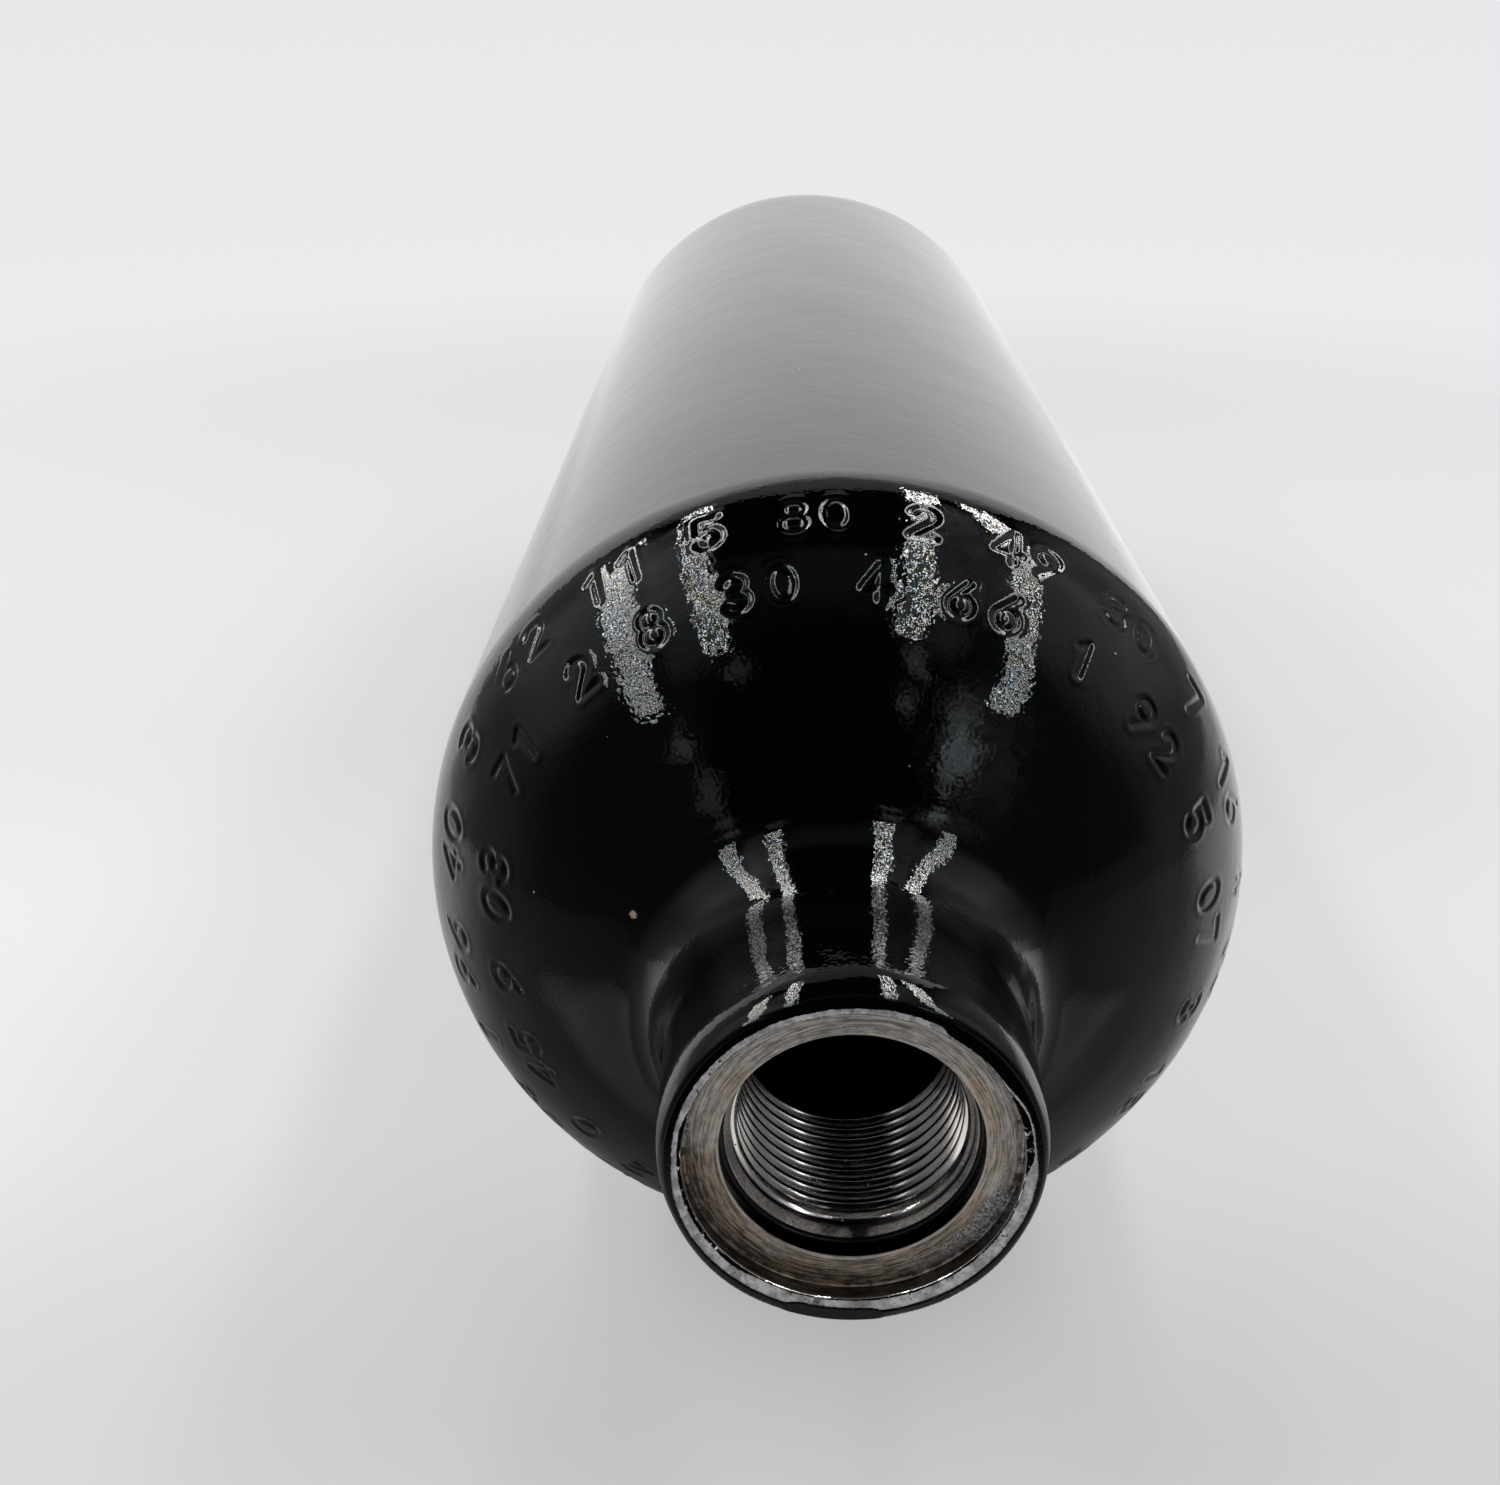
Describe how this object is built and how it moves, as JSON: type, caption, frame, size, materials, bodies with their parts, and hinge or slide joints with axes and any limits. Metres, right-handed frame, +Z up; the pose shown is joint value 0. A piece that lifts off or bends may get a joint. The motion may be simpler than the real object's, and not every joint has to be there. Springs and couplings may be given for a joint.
{
  "type": "scuba tank",
  "caption": "Bare steel diving cylinder lying on its side, with a domed base, straight wall, rounded shoulder and a short neck whose recessed port has a parallel valve thread.",
  "frame": {"origin": "on the surface that the cylinder lies on, under the middle of its length and below its axis", "axes": "+Y along the cylinder's axis, from the neck towards the base; +Z up; +X to the right, looking at the neck"},
  "size_m": [0.112, 0.3999, 0.112],
  "materials": {
    "machined_steel": "lathe-turned, with brown rust staining and fine pits",
    "raw_steel": "as-forged dark steel, inside the bottle",
    "primer": "pale grey matt primer, chipped at the rim",
    "black_topcoat": "thick gloss black paint with fine orange peel"
  },
  "bodies": {
    "root": {"neck_boss": "machined_steel", "shoulder_dome": "raw_steel", "cylinder_wall": "raw_steel", "bottom_dome": "raw_steel", "primer_coat": "primer", "black_coat_shoulder": "black_topcoat", "black_coat_wall": "black_topcoat", "black_coat_base": "black_topcoat"}
  },
  "joints": []
}
